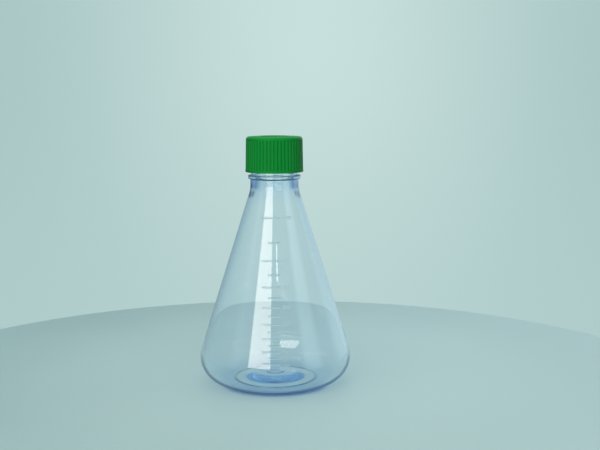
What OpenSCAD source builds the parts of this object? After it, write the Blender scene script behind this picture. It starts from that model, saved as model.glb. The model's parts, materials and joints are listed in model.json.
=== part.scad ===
// Conical shake flask with a ribbed, vented screw cap.
// Lengths are in millimetres. The origin is the centre of the foot, on the table, and +Z is up.

/* [Flask] */
// Widest diameter, across the rounded heel
base_d = 130; // [110:1:160]
// Radius of the rounded heel between the side and the foot
heel_r = 22.4; // [16:0.2:27]
// Height where the line of the cone meets the line of the neck
shoulder_z = 166.3; // [130:0.1:210]
// Radius of the hollow curve between the cone and the neck
neck_fillet_r = 22; // [12:1:30]
// Wall thickness of the side and the foot
wall = 2.2; // [1.2:0.1:2.6]
// Bore of the mouth and the neck
mouth_d = 33; // [26:0.5:41]
// Wall thickness of the plain neck under the bead
neck_wall = 4; // [3:0.1:4.5]

/* [Push-up base] */
// Width of the flat ring that the flask stands on
foot_w = 8.2; // [4:0.2:12]
// Height of the step at the inner edge of the foot
step_h = 1.2; // [0.6:0.1:2]
// Rise of the dome from the step to its crown
dome_rise = 1.2; // [0.6:0.1:6]
// Thickness of the dome
dome_t = 1.8; // [1.2:0.1:3]
// Diameter of the thick middle that moulding leaves in the dome
core_d = 58; // [44:1:64]
// Diameter of its level top
plateau_d = 28; // [20:1:36]
// Extra thickness of that middle, on its upper side
core_rise = 2.6; // [1:0.1:4]
// Diameter of the moulding gate at the crown
gate_d = 15.6; // [8:0.2:20]
// Height of the gate boss above the dome
gate_h = 0.6; // [0.4:0.1:1.5]

/* [Neck finish] */
// Height of the plain neck, from the cone's line to the bead
neck_plain_h = 9; // [6:0.1:20]
// Reach of the bead beyond the plain neck
bead_proud = 1.9; // [1.2:0.1:4]
// Height of the bead
bead_h = 3.2; // [2.6:0.1:4]
// Rounding of the bead's edges
bead_edge_r = 1; // [0.4:0.1:1.2]
// Wall thickness of the threaded part of the neck, at the thread's root
finish_wall = 3.4; // [2.4:0.1:4]
// Rounding of the rim's two edges
rim_edge_r = 0.5; // [0.2:0.1:0.7]
// Lead of the screw thread
thread_lead = 6; // [5:0.1:8]
// Turns of thread on the neck and in the cap
thread_turns = 1.5; // [1:0.25:2]
// Height of the thread ridge above its root
thread_h = 1.1; // [0.9:0.05:1.3]
// Width of the thread ridge at its root
thread_root_w = 2.2; // [1.8:0.1:2.4]
// Width of the thread ridge at its crest
thread_crest_w = 1; // [0.6:0.1:1.2]
// Distance from the rim down to the top end of the neck's thread
thread_drop = 3.2; // [2.6:0.1:4]

/* [Cap] */
// Height of the cap, which sets how far the neck stands up inside it
cap_h = 30.2; // [25:0.1:40]
// Thickness of the cap's skirt behind the flutes
cap_wall = 1.8; // [1.2:0.1:3]
// Thickness of the cap's top
top_t = 3; // [2.5:0.1:5]
// Rounding of the cap's top edge
top_edge_r = 2.5; // [1:0.1:3]
// Crown of the cap's top, from its edge to the vent
top_crown = 0.5; // [0.2:0.1:0.8]
// Draft of the ribbed side, from its top out to its lower end
cap_draft = 0.5; // [0.2:0.1:0.8]
// Reach of the smooth lower band beyond the ribs, and rounding of its upper edge
band_proud = 0.2; // [0.1:0.1:0.6]
// Height of that band
band_h = 1.8; // [1.4:0.1:4]
// Rounding of the cap's lower edge
band_edge_r = 0.5; // [0.2:0.1:0.8]
// Number of flutes, one between each pair of ribs
flute_count = 48; // [36:1:56]
// Radius of a flute
flute_r = 0.95; // [0.7:0.05:1.1]
// Depth of a flute
flute_depth = 0.7; // [0.4:0.05:0.9]
// Plain height between the flutes and the cap's top
flute_drop = 2.9; // [2.6:0.1:6]

/* [Vent and seal] */
// Diameter of the round recess in the cap's top
vent_recess_d = 25.6; // [22:0.2:30]
// Depth of that recess
vent_recess_h = 1; // [0.6:0.1:1.5]
// Diameter of one vent hole
vent_hole_d = 5; // [3:0.2:6]
// Distance of the outer vent holes from the axis
vent_ring_r = 7.6; // [6.5:0.1:9]
// Number of outer vent holes
vent_count = 6; // [5:1:7]
// Thickness of the filter disc welded under the cap's top
membrane_t = 0.4; // [0.2:0.05:0.8]
// Thickness of the sealing ring
gasket_t = 1.5; // [1:0.1:2.5]
// Reach of the sealing ring inwards past the mouth's bore
gasket_lip = 1.5; // [0.5:0.1:3]

/* [Fits] */
// Gap between the bead and the cap's lower edge
cap_gap = 2.6; // [1:0.1:5]
// Radial gap between a thread's crest and the wall across from it
thread_gap = 0.4; // [0.3:0.05:0.6]
// Gap along the axis between the two threads' flanks
flank_gap = 0.5; // [0.3:0.05:0.6]
// Radial gap between the sealing ring and the cap's bore
gasket_gap = 0.3; // [0.2:0.05:0.5]
// Radial gap between the filter disc and the sealing ring
membrane_gap = 1; // [0.5:0.1:3]

/* [Graduations] */
// Volume between two marks, in millilitres
mark_step_ml = 50; // [25:25:100]
// Number of marks, long and short by turns
mark_count = 15; // [4:1:20]
// Distance of the top mark below the cone's meeting with the neck
mark_drop = 21.4; // [12:0.1:30]
// Height of a mark's relief
mark_h = 0.55; // [0.2:0.05:0.8]
// Width of a mark
mark_w = 1.5; // [0.8:0.1:2]
// Reach of every mark to the right of the front
mark_right = 4.5; // [2:0.5:8]
// Reach of a long mark to the left of the front
mark_long = 11; // [8:0.5:14]
// Reach of a short mark to the left of the front
mark_short = 6; // [3:0.5:8]

/* [Hidden] */
$fn = 96;

clear_blue = [0.68, 0.82, 0.90, 0.4];
cap_green = [0.07, 0.49, 0.19];
filter_white = [0.95, 0.95, 0.93];
seal_white = [0.86, 0.88, 0.87];

// Cubic millimetres in a millilitre
ml = 1000;
// Direction of the front, seen from above
front_a = -90;
// Depth that a raised ridge is sunk into its wall, and a cut runs past its face
sink = 0.5;
// Straight pieces in the heel, in the base's thick middle, in a smaller rounding, and in one turn of a thread
heel_pieces = 16;
core_pieces = 10;
curve_pieces = 6;
thread_pieces = 36;
// Angle over which a thread's ends fade, and the share of its height that they dive under the wall
thread_runout = 24;
thread_dive = 0.2;
// Angle from the start of the neck's thread back to the start of the cap's
cap_thread_back = 90;

// Side of the flask
mouth_r = mouth_d / 2;
neck_r = mouth_r + neck_wall;
heel_c = base_d / 2 - heel_r;
heel_reach = norm([heel_c - neck_r, shoulder_z - heel_r]);
cone_a = atan((heel_c - neck_r) / (shoulder_z - heel_r)) + asin(heel_r / heel_reach);
side_normal = [cos(cone_a), sin(cone_a)];
heel_top_z = heel_r + heel_r * side_normal[1];

// Base
step_r = heel_c - foot_w;
mound_r = step_r + dome_t;
dome_r = (step_r * step_r + dome_rise * dome_rise) / (2 * dome_rise);
dome_c = [0, step_h + dome_rise - dome_r];
core_r = core_d / 2;
plateau_r = plateau_d / 2;
gate_r = gate_d / 2;

// Heights up the neck and through the cap, each standing on the one before
bead_low_z = shoulder_z + neck_plain_h;
bead_top_z = bead_low_z + bead_h;
cap_low_z = bead_top_z + cap_gap;
cap_top_z = cap_low_z + cap_h;
ceiling_z = cap_top_z - top_t;
rim_z = ceiling_z - gasket_t;
thread_start_z = rim_z - thread_drop - thread_lead * thread_turns;

// Radii from the mouth out to the cap's band
finish_r = mouth_r + finish_wall;
bead_r = neck_r + bead_proud;
cap_bore_r = finish_r + thread_h + thread_gap;
cap_r = cap_bore_r + cap_wall + flute_depth;
skirt_r = cap_r + cap_draft;
band_r = skirt_r + band_proud;
gasket_r = mouth_r - gasket_lip;
membrane_r = gasket_r - membrane_gap;
vent_recess_r = vent_recess_d / 2;
// The two threads share one helix, with the cap's a flank below the neck's
thread_offset = (thread_root_w + thread_crest_w) / 2 + flank_gap;

// Points along an arc, from one angle to another
function arc(centre, radius, from, to, pieces) =
    [for (i = [0:pieces]) let (a = from + (to - from) * i / pieces) centre + radius * [cos(a), sin(a)]];

// Side of the flask from the foot up to the neck, moved in by inset, for a neck of radius side_r
function side_path(side_r, inset) =
    let (corner_z = shoulder_z + ((neck_r - side_r) * side_normal[0] - inset) / side_normal[1],
         fillet_r = neck_fillet_r + inset,
         fillet_c = [side_r + fillet_r, corner_z + fillet_r * tan(cone_a / 2)])
    concat(arc([heel_c, heel_r], heel_r - inset, -90, cone_a, heel_pieces),
           arc(fillet_c, fillet_r, 180 + cone_a, 180, curve_pieces));

function reverse(path) = [for (i = [len(path) - 1:-1:0]) path[i]];

// Dome from one radius to another, moved out by extra
function dome_angle(radius, extra) = acos(radius / (dome_r + extra));
function dome_path(from_r, to_r, extra) =
    arc(dome_c, dome_r + extra, dome_angle(from_r, extra), dome_angle(to_r, extra), curve_pieces);

// Upper side of the base's thick middle, rising smoothly from the dome to its level top
core_path = [for (i = [1:core_pieces])
    let (share = i / core_pieces,
         r = core_r + (plateau_r - core_r) * share,
         skin_z = dome_c[1] + sqrt(pow(dome_r + dome_t, 2) - r * r))
    [r, skin_z + core_rise * (1 - cos(180 * share)) / 2]];

// Gate boss on a face at the crown
crown_z = dome_c[1] + dome_r;
plateau_z = crown_z + dome_t + core_rise;
function gate_path(radius, face_z) = [[radius, face_z + gate_h], [0, face_z + gate_h]];

// Neck from the bead to the rim
bead_path = concat(
    [[neck_r, bead_low_z]],
    arc([bead_r - bead_edge_r, bead_low_z + bead_edge_r], bead_edge_r, -90, 0, curve_pieces),
    arc([bead_r - bead_edge_r, bead_top_z - bead_edge_r], bead_edge_r, 0, 90, curve_pieces),
    [[finish_r, bead_top_z]]);
rim_path = concat(
    arc([finish_r - rim_edge_r, rim_z - rim_edge_r], rim_edge_r, 0, 90, curve_pieces),
    arc([mouth_r + rim_edge_r, rim_z - rim_edge_r], rim_edge_r, 90, 180, curve_pieces));

// Half section of the flask: outside from the foot to the rim, inside back to the dome's crown
flask_section = concat(
    [[step_r, 0]],
    side_path(neck_r, 0),
    bead_path,
    rim_path,
    reverse(side_path(mouth_r, wall)),
    [[mound_r, wall]],
    dome_path(mound_r, core_r, dome_t),
    core_path,
    [[gate_r, plateau_z]],
    gate_path(gate_r, plateau_z),
    reverse(gate_path(gate_r - dome_t, crown_z)),
    reverse(dome_path(step_r, gate_r - dome_t, 0)));

// Radius of the cone's outside and inside at a height, and height of its inside at a radius
function cone_r(z) = neck_r + (shoulder_z - z) * tan(cone_a);
function cone_inner_r(z) = cone_r(z) - wall / side_normal[0];
function cone_inner_z(r) = shoulder_z - (r + wall / side_normal[0] - neck_r) / tan(cone_a);

// Equal volumes in a cone add equal amounts to the cube of its radius
top_mark_r = cone_inner_r(shoulder_z - mark_drop);
cube_step = 3 * tan(cone_a) * mark_step_ml * ml / PI;
function mark_z(i) = cone_inner_z(pow(pow(top_mark_r, 3) + i * cube_step, 1 / 3));

// One raised mark across the front of the cone, from left to right of the front
module mark(z, left) {
    r = cone_r(z);
    from = front_a - asin(left / r);
    to = front_a + asin(mark_right / r);
    rotate([0, 0, from])
        rotate_extrude(angle = to - from)
            translate([r, z])
                rotate(cone_a)
                    translate([-sink, -mark_w / 2])
                        square([sink + mark_h, mark_w]);
}

// Marks on the straight side: every second one is long
module marks() {
    for (i = [0:mark_count - 1])
        if (mark_z(i) > heel_top_z)
            mark(mark_z(i), i % 2 == 0 ? mark_long : mark_short);
}

// Helical ridge on a wall of radius root_r, growing out where grow is 1 and in where it is -1
module thread_ridge(root_r, grow, from, to, start_z) {
    pieces = ceil((to - from) / 360 * thread_pieces);
    flank = (thread_root_w - thread_crest_w) / 2 / thread_h;
    foot_half = thread_root_w / 2 + flank * sink;
    function angle_at(i) = from + (to - from) * i / pieces;
    function fade(a) = min(1, (a - from) / thread_runout - thread_dive, (to - a) / thread_runout - thread_dive);
    function section(a) =
        let (rise = thread_h * fade(a), half = max(thread_crest_w / 2, thread_root_w / 2 - flank * rise))
        [[root_r - grow * sink, -foot_half], [root_r + grow * rise, -half],
         [root_r + grow * rise, half], [root_r - grow * sink, foot_half]];
    points = [for (i = [0:pieces]) let (a = angle_at(i)) for (p = section(a))
        [p[0] * cos(a), p[0] * sin(a), start_z + p[1] + thread_lead * a / 360]];
    sides = [for (i = [0:pieces - 1], k = [0:3])
        let (a = 4 * i + k, b = 4 * i + (k + 1) % 4)
        each [[a, a + 4, b], [b, a + 4, b + 4]]];
    last = 4 * pieces;
    ends = [[0, 1, 2], [0, 2, 3], [last, last + 2, last + 1], [last, last + 3, last + 2]];
    faces = concat(sides, ends);
    polyhedron(points, grow < 0 ? faces : [for (f = faces) reverse(f)]);
}

module flask_body() {
    color(clear_blue) {
        rotate_extrude()
            polygon(flask_section);
        marks();
        thread_ridge(finish_r, 1, 0, 360 * thread_turns, thread_start_z);
    }
}

// Half section of the cap: outside from the lower edge to the vent recess, inside back down the bore
cap_section = concat(
    [[cap_bore_r, cap_low_z]],
    arc([band_r - band_edge_r, cap_low_z + band_edge_r], band_edge_r, -90, 0, curve_pieces),
    arc([skirt_r, cap_low_z + band_h - band_proud], band_proud, 0, 90, curve_pieces),
    arc([cap_r - top_edge_r, cap_top_z - top_crown - top_edge_r], top_edge_r, 0, 90, curve_pieces),
    [[vent_recess_r, cap_top_z],
     [vent_recess_r, cap_top_z - vent_recess_h],
     [0, cap_top_z - vent_recess_h],
     [0, ceiling_z],
     [cap_bore_r, ceiling_z]]);

// One hollow in the cap's side, leaning in with its draft
module flute() {
    draft_a = atan(cap_draft / (cap_h - band_h - top_crown - top_edge_r));
    translate([skirt_r + flute_r - flute_depth, 0, cap_low_z + band_h])
        rotate([0, -draft_a, 0])
            cylinder(r = flute_r, h = cap_h - band_h - flute_drop);
}

module vent_hole() {
    translate([0, 0, ceiling_z - sink])
        cylinder(d = vent_hole_d, h = top_t + sink);
}

module cap_shell() {
    color(cap_green) {
        difference() {
            rotate_extrude()
                polygon(cap_section);
            for (i = [0:flute_count - 1])
                rotate([0, 0, 360 * i / flute_count])
                    flute();
            vent_hole();
            for (i = [0:vent_count - 1])
                rotate([0, 0, 360 * i / vent_count])
                    translate([vent_ring_r, 0, 0])
                        vent_hole();
        }
        thread_ridge(cap_bore_r, -1, -cap_thread_back, 360 * thread_turns - cap_thread_back,
                     thread_start_z - thread_offset);
    }
}

module vent_membrane() {
    color(filter_white)
        translate([0, 0, ceiling_z - membrane_t])
            cylinder(r = membrane_r, h = membrane_t);
}

module sealing_gasket() {
    color(seal_white)
        translate([0, 0, rim_z])
            difference() {
                cylinder(r = cap_bore_r - gasket_gap, h = gasket_t);
                translate([0, 0, -sink])
                    cylinder(r = gasket_r, h = gasket_t + 2 * sink);
            }
}

flask_body();
cap_shell();
vent_membrane();
sealing_gasket();
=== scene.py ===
# %% [markdown]
# # A clear conical shake flask with a green screw cap
#
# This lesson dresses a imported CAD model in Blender. The CAD model fixes every size and place, so nothing
# here is moved or fitted: each piece is modelled again with finer curves, where the CAD piece stands, and
# gets the finish of the real plastic. The pieces are the flask, its cap, the filter disc in the cap and
# the sealing ring under it.

# %% Load the frame
import json
import math

import bmesh
import bpy
from mathutils import Matrix, Vector


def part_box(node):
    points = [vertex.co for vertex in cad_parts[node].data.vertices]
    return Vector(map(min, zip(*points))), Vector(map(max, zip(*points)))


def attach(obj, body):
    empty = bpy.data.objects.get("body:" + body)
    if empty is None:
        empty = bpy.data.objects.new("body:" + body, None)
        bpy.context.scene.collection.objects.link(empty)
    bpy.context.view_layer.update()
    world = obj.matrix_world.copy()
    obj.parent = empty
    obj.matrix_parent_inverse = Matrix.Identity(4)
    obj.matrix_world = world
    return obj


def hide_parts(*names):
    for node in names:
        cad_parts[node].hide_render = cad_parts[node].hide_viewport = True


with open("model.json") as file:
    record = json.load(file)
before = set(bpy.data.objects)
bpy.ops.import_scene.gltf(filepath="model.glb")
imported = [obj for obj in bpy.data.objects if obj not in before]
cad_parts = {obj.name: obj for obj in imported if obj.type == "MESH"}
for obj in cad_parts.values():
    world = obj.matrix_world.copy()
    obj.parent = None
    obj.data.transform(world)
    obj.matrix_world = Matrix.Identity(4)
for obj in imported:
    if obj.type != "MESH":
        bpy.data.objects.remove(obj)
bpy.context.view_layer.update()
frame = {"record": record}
scene = bpy.context.scene
scene.view_settings.view_transform = "Standard"
MM = 0.001

# %% [markdown]
# ## Camera
#
# The photograph was taken from a little above the cap, about 0.8 m away. Its focal length, height and
# tilt come from fitting the flask's outline, so the same numbers make the render line up with it. The
# three turns are applied in the order a tripod has them: turn left or right, tilt down, then roll.

# %% Camera
camera_back = 798.5 * MM
camera_height = 240.6 * MM
camera_yaw = math.radians(1.55)
camera_tilt = math.radians(7.51)
camera_roll = math.radians(-0.13)
focal_length = 56.53
film_width = 36


def add_object(name, data):
    """A new object with this data, linked into the scene."""
    made = bpy.data.objects.new(name, data)
    scene.collection.objects.link(made)
    return made


camera = add_object("camera", bpy.data.cameras.new("camera"))
camera.data.sensor_width = film_width
camera.data.lens = focal_length
camera.data.clip_start = 10 * MM
camera.matrix_world = (
    Matrix.Translation((0, -camera_back, camera_height))
    @ Matrix.Rotation(-camera_yaw, 4, "Z")
    @ Matrix.Rotation(math.pi / 2 - camera_tilt, 4, "X")
    @ Matrix.Rotation(camera_roll, 4, "Z")
)
scene.camera = camera
print("camera at", [round(c, 4) for c in camera.matrix_world.translation])

# %% [markdown]
# ## Helpers for node trees
#
# Materials, the world and Geometry Nodes are all trees of nodes. A few small helpers keep the script short:
# one adds a node and fills or links its inputs, and the others hand back the result of a sum, a smooth
# step, a mask, a vector or a colour mix, so that a formula in a tree reads like a formula in Python.


# %% Node helpers
def feed(tree, node, inputs):
    """Sets a node's inputs, by name or number, to values or to the outputs that feed them."""
    for key, value in inputs.items():
        if isinstance(value, bpy.types.NodeSocket):
            tree.links.new(value, node.inputs[key])
        else:
            node.inputs[key].default_value = value


def add_node(tree, kind, inputs=None, **settings):
    """A new node with these settings and inputs."""
    node = tree.nodes.new(kind)
    for name, value in settings.items():
        setattr(node, name, value)
    feed(tree, node, inputs or {})
    return node


def calc(tree, operation, *values):
    """The result of a Math node on numbers or on other nodes' outputs."""
    return add_node(tree, "ShaderNodeMath", dict(enumerate(values)), operation=operation).outputs[0]


def product(tree, first, *others):
    """Several numbers or outputs multiplied together."""
    for other in others:
        first = calc(tree, "MULTIPLY", first, other)
    return first


def hypotenuse(tree, across, up):
    """The distance made by two lengths at right angles."""
    return calc(tree, "SQRT", calc(tree, "ADD", product(tree, across, across), product(tree, up, up)))


def ease(tree, value, low, high, low_result=0.0, high_result=1.0):
    """A smooth change from one result to another as value goes from low to high."""
    sockets = {"Value": value, "From Min": low, "From Max": high, "To Min": low_result, "To Max": high_result}
    return add_node(tree, "ShaderNodeMapRange", sockets, interpolation_type="SMOOTHSTEP").outputs["Result"]


def band(tree, value, rise_start, rise_end, fall_start, fall_end):
    """A mask that rises smoothly from 0 to 1 and falls back to 0 as value grows."""
    return product(tree, ease(tree, value, rise_start, rise_end), ease(tree, value, fall_end, fall_start))


def combine(tree, x, y, z):
    """A vector from three numbers or outputs."""
    return add_node(tree, "ShaderNodeCombineXYZ", {"X": x, "Y": y, "Z": z}).outputs[0]


def mix_colours(tree, factor, first, second):
    """A colour between two others. A Mix node keeps its colours in sockets 6 and 7 and its result in 2."""
    return add_node(tree, "ShaderNodeMix", {0: factor, 6: first, 7: second}, data_type="RGBA").outputs[2]


# %% [markdown]
# ## Studio light
#
# A clear object is drawn by what it reflects and by what shows through it, so the world shows each kind of
# ray something else. The camera and refracted rays see a pale green-grey backdrop, brightest in the middle.
# Rays that have been reflected inside the plastic see a darker tone of it, because a real room is darker
# above and behind the camera. Mirror reflections see a dim room with two soft upright bands, like windows,
# a paler part behind on the right and a bright ceiling. Matt surfaces get a plain even light that is weaker
# from the sides.

# %% Backdrop
backdrop_middle = (0.570, 0.735, 0.720, 1)
backdrop_side = (0.400, 0.570, 0.560, 1)
backdrop_low = (0.440, 0.615, 0.602, 1)
backdrop_centre = 0.04
backdrop_reach = 0.34
low_start = 0.06
low_end = -0.25
low_share = 0.7

world = bpy.data.worlds.new("studio")
scene.world = world
world.use_nodes = True
tree = world.node_tree
tree.nodes.clear()
direction = add_node(tree, "ShaderNodeTexCoord").outputs["Generated"]
part = add_node(tree, "ShaderNodeSeparateXYZ", {0: direction}).outputs
from_middle = calc(tree, "ABSOLUTE", calc(tree, "SUBTRACT", part["X"], backdrop_centre))
backdrop = mix_colours(tree, ease(tree, from_middle, 0.0, backdrop_reach), backdrop_middle, backdrop_side)
lowness = ease(tree, part["Z"], low_start, low_end, 0.0, low_share)
backdrop = mix_colours(tree, lowness, backdrop, backdrop_low)
print("backdrop:", backdrop_middle[:3], "in the middle,", backdrop_side[:3], "at the sides")

# %% Room for mirror reflections
room_colour = (0.80, 1.0, 1.08)
ceiling_level = 3.0
ceiling_start = 0.5
ceiling_full = 0.85

# Brightness of the room round the flask, by degrees to the right of the camera
room_levels = ((-180, 0.40), (-145, 0.30), (-105, 0.45), (-80, 0.55), (-64, 1.20), (-48, 0.85), (-20, 0.55),
               (38, 0.55), (52, 2.00), (66, 1.80), (80, 0.55), (98, 0.60), (118, 1.25), (140, 1.15),
               (158, 0.85), (180, 0.40))


def room_light(level):
    """The room's colour at a brightness."""
    return (*[level * c for c in room_colour], 1)


bearing = calc(tree, "ARCTAN2", part["X"], calc(tree, "MULTIPLY", part["Y"], -1.0))
whole_turn = calc(tree, "MULTIPLY_ADD", bearing, 0.5 / math.pi, 0.5)
bands = add_node(tree, "ShaderNodeValToRGB", {0: whole_turn})
bands.color_ramp.interpolation = "EASE"
for k, (degrees, level) in enumerate(room_levels):
    stops = bands.color_ramp.elements
    stop = stops[k] if k < 2 else stops.new(1.0)
    stop.position = (degrees + 180) / 360
    stop.color = room_light(level)
upward = ease(tree, part["Z"], ceiling_start, ceiling_full)
around = mix_colours(tree, upward, bands.outputs[0], room_light(ceiling_level))
print("room:", len(room_levels), "levels round the flask and a ceiling")

# %% What each kind of ray sees
fill_colour = (0.95, 1.0, 1.0, 1)
fill_right = (0.54, 0.57, 0.57, 1)
fill_left = (0.80, 0.84, 0.84, 1)
fill_strength = 0.80
side_start = 0.1
side_full = 0.9
room_dark = (0.34, 0.51, 0.56, 1)

ray = add_node(tree, "ShaderNodeLightPath").outputs
bounced = calc(tree, "MINIMUM", ray["Glossy Depth"], 1.0)
seen = mix_colours(tree, bounced, backdrop, room_dark)
through = ray["Is Transmission Ray"]
shown = calc(tree, "MAXIMUM", ray["Is Camera Ray"], through)
mirrored = calc(tree, "MAXIMUM", calc(tree, "SUBTRACT", ray["Is Glossy Ray"], through), 0.0)
soft = mix_colours(tree, ease(tree, part["X"], side_start, side_full), fill_colour, fill_right)
soft = mix_colours(tree, ease(tree, part["X"], -side_start, -side_full), soft, fill_left)
fill = add_node(tree, "ShaderNodeBackground", {"Color": soft, "Strength": fill_strength}).outputs[0]
room = add_node(tree, "ShaderNodeBackground", {"Color": around, "Strength": 1.0}).outputs[0]
view = add_node(tree, "ShaderNodeBackground", {"Color": seen, "Strength": 1.0}).outputs[0]
lit = add_node(tree, "ShaderNodeMixShader", {0: mirrored, 1: fill, 2: room}).outputs[0]
either = add_node(tree, "ShaderNodeMixShader", {0: shown, 1: lit, 2: view}).outputs[0]
add_node(tree, "ShaderNodeOutputWorld", {"Surface": either})
scene.cycles.max_bounces = 32
scene.cycles.transmission_bounces = 32
scene.cycles.glossy_bounces = 24
scene.cycles.transparent_max_bounces = 32
print("world:", len(tree.nodes), "nodes, fill at", fill_strength)

# %% [markdown]
# ## Soft lamps
#
# A tall soft lamp stands in front on the left: the broad white strip down the flask is its reflection. A
# small lamp on the right gives the thin line in the middle and the sparkle on the raised marks. An area
# lamp's power is worked out from its size, so that its brightness as seen from the flask can be set.

# %% Soft lamps
lamp_distance = 1.2
lamp_target_height = 100 * MM


def soft_lamp(name, azimuth, spread, low, high, radiance, colour):
    """An upright panel facing the flask, with angles in degrees as the flask sees them, left below 0."""
    panel = bpy.data.lights.new(name, "AREA")
    panel.shape = "RECTANGLE"
    panel.size = 2 * lamp_distance * math.tan(math.radians(spread / 2))
    bottom = lamp_target_height + lamp_distance * math.tan(math.radians(low))
    top = lamp_target_height + lamp_distance * math.tan(math.radians(high))
    panel.size_y = top - bottom
    panel.energy = radiance * 4 * panel.size * panel.size_y
    panel.color = colour
    lamp = add_object(name, panel)
    turn = math.radians(azimuth)
    lamp.location = (lamp_distance * math.sin(turn), -lamp_distance * math.cos(turn), (top + bottom) / 2)
    lamp.rotation_euler = (math.pi / 2, 0, turn)
    print(name, round(panel.size, 3), "by", round(panel.size_y, 3), "m,", round(panel.energy, 2), "W")
    return lamp


soft_lamp("key_lamp", azimuth=-24.5, spread=33, low=2.5, high=45, radiance=3.0, colour=(1.0, 0.88, 0.80))
soft_lamp("small_lamp", azimuth=5, spread=3.2, low=23.2, high=26.8, radiance=3.8, colour=(1.0, 0.95, 0.92))

# %% [markdown]
# ## Floor
#
# The flask stands on a pale round table top. A disc with a rounded rim is enough: its far edge shows as a
# faint line behind the flask, as in the photograph. Painted shade makes its tone a little darker on the left
# and far from the back of the flask. It lies a hair below the foot, so that the two surfaces never share a
# plane.


# %% Floor finish, with painted shade
def new_material(name):
    """A new material, its node tree and its Principled shader."""
    material = bpy.data.materials.new(name)
    material.use_nodes = True
    return material, material.node_tree, material.node_tree.nodes["Principled BSDF"]


# Tone of the table top, from 0 for dark to 1 for pale: painted shade on the left and far from the flask
floor_pale = (0.472, 0.654, 0.650, 1)
floor_painted_shade = (0.300, 0.455, 0.452, 1)
painted_left_tone = 0.40
painted_right_tone = 0.97
painted_fall_shade = 0.30
tone_cloud = 0.13
left_end = -300 * MM
right_end = 200 * MM
fall_centre = (0, 60 * MM, 0)
fall_start = 130 * MM
fall_end = 300 * MM
floor_roughness = (0.42, 0.5)

# Most values of a noise lie in this span
noise_span = (0.3, 0.7)

floor_material, tree, shader = new_material("pale_table_top")
place = add_node(tree, "ShaderNodeTexCoord").outputs["Object"]
cloud_sizes = {"Vector": place, "Scale": 6.0, "Detail": 3.0}
cloud = add_node(tree, "ShaderNodeTexNoise", cloud_sizes).outputs["Fac"]
across = add_node(tree, "ShaderNodeSeparateXYZ", {0: place}).outputs["X"]
# Painted shade: darker towards the left and away from a point behind the flask
two_places = {0: place, 1: fall_centre}
away = add_node(tree, "ShaderNodeVectorMath", two_places, operation="DISTANCE").outputs["Value"]
sideways = ease(tree, across, left_end, right_end, painted_left_tone, painted_right_tone)
cloud_and_painted_shade = calc(tree, "MULTIPLY_ADD", cloud, tone_cloud, sideways)
cloud_and_painted_shade = calc(tree, "SUBTRACT", cloud_and_painted_shade, ease(tree, away, fall_start, fall_end, 0.0, painted_fall_shade))
feed(tree, shader, {
    "Base Color": mix_colours(tree, cloud_and_painted_shade, floor_painted_shade, floor_pale),
    "Roughness": ease(tree, cloud, *noise_span, *floor_roughness),
    "Specular IOR Level": 0.2,
})
print("floor finish:", len(tree.nodes), "nodes")

# %% Floor disc
floor_radius = 392 * MM
floor_thickness = 20 * MM
floor_rounding = 4 * MM
floor_centre = (0, -64 * MM)
floor_gap = 0.1 * MM
floor_segments = 192
floor_rim_pieces = 4
floor_sharp = 40

shape = bmesh.new()
bmesh.ops.create_cone(
    shape, cap_ends=True, segments=floor_segments,
    radius1=floor_radius, radius2=floor_radius, depth=floor_thickness,
)
rim_edges = [e for e in shape.edges if abs(e.verts[0].co.z - e.verts[1].co.z) < MM]
bmesh.ops.bevel(
    shape, geom=rim_edges, offset=floor_rounding, segments=floor_rim_pieces, affect="EDGES", profile=0.5
)
floor_mesh = bpy.data.meshes.new("table_top")
shape.to_mesh(floor_mesh)
shape.free()
floor_mesh.transform(Matrix.Translation((*floor_centre, -floor_gap - floor_thickness / 2)))
floor_mesh.shade_smooth()
floor_mesh.set_sharp_from_angle(angle=math.radians(floor_sharp))
floor_mesh.materials.append(floor_material)
floor = add_object("table_top", floor_mesh)
print("floor: a disc", round(2 * floor_radius, 3), "m across")

# %% [markdown]
# ## Outlines and turning
#
# The flask, the cap, the ring and the disc are all turned shapes: an outline spun round the upright axis.
# Each outline is a short list of corners, and each corner has its own rounding, as on a drawing. One helper
# replaces the corners by arcs and another spins the outline into a closed mesh, with single points where it
# meets the axis. The normals are worked out again afterwards, so that every face points outwards.

# %% Outline helpers
arc_step = math.radians(9)
tiny = 1e-7


def arc(centre, radius, start, end, pieces):
    """Corners along an arc, without rounding. Angles are in radians."""
    angles = [start + (end - start) * i / pieces for i in range(pieces + 1)]
    return [(centre[0] + radius * math.cos(a), centre[1] + radius * math.sin(a), 0) for a in angles]


def rounded(corners):
    """The outline through corners of (radius, height, rounding), closed, with arcs for the roundings."""
    points = []
    for i, (r, z, rounding) in enumerate(corners):
        here = Vector((r, z))
        back = (Vector(corners[i - 1][:2]) - here).normalized()
        ahead = (Vector(corners[(i + 1) % len(corners)][:2]) - here).normalized()
        turn = math.pi - back.angle(ahead)
        if rounding == 0 or turn < tiny:
            points.append(here)
            continue
        centre = here + (back + ahead).normalized() * rounding / math.cos(turn / 2)
        first = here + back * rounding * math.tan(turn / 2) - centre
        way = 1 if back.cross(ahead) < 0 else -1
        pieces = max(2, math.ceil(turn / arc_step))
        for k in range(pieces + 1):
            points.append(centre + Matrix.Rotation(way * turn * k / pieces, 2) @ first)
    return points


def split_long(points, longest, inner_limit=-1.0):
    """The same closed outline with extra points, longest apart, wherever it lies beyond inner_limit."""
    dense = []
    for here, ahead in zip(points, points[1:] + points[:1]):
        pieces = max(1, math.ceil((ahead - here).length / longest))
        if min(here.x, ahead.x) <= inner_limit:
            pieces = 1
        dense += [here.lerp(ahead, k / pieces) for k in range(pieces)]
    return dense


def finish_shading(mesh, material, sharp=35):
    """Smooth shading, with a crease wherever two faces meet at more than sharp degrees."""
    mesh.materials.clear()
    mesh.materials.append(material)
    mesh.shade_smooth()
    mesh.set_sharp_from_angle(angle=math.radians(sharp))


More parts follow.
